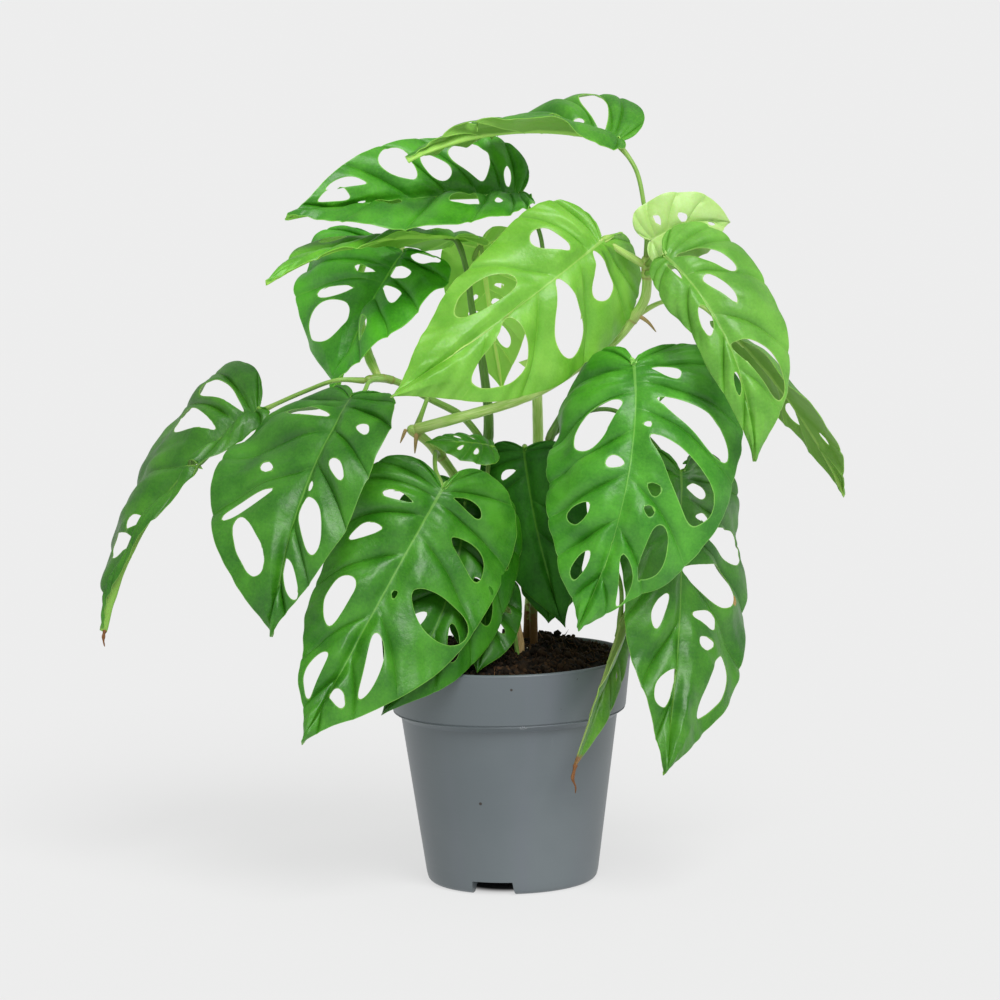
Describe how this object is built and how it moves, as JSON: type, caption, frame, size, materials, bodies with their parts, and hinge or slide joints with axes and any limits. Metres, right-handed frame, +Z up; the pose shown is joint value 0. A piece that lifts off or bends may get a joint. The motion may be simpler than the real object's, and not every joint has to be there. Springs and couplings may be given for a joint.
{
  "type": "potted swiss cheese vine",
  "caption": "Leafy swiss cheese vine with holed leaves on bent stems, rooted in soil in a round tapered nursery pot that stands on its flat foot.",
  "frame": {"origin": "centre of the pot's foot, on the plane it stands on", "axes": "+Z up, -Y towards the side that most leaves face, +X to the right when seen from that side"},
  "size_m": [0.3646, 0.1532, 0.3803],
  "materials": {
    "pot": "satin grey",
    "soil": "matt, crumbly",
    "stem": "satin green",
    "bark": "matt brown",
    "leaf": "satin green"
  },
  "bodies": {
    "root": {"pot": "pot", "soil": "soil", "stem_main": "stem", "stem_left": "stem", "stem_back": "stem", "stem_right": "stem", "dry_stump": "bark", "leaf_crown": "leaf", "leaf_upper_left": "leaf", "leaf_arching_left": "leaf", "leaf_hanging_left": "leaf", "leaf_centre": "leaf", "leaf_behind_centre": "leaf", "leaf_young": "leaf", "leaf_upper_right": "leaf", "leaf_far_right": "leaf", "leaf_middle_right": "leaf", "leaf_lower_right": "leaf", "leaf_front": "leaf", "leaf_behind_front": "leaf", "leaf_rim": "leaf", "leaf_left": "leaf", "leaf_far_left": "leaf", "leaf_inner": "leaf", "leaf_low": "leaf", "leaf_small": "leaf", "leaf_dry_tip": "leaf"}
  },
  "joints": []
}
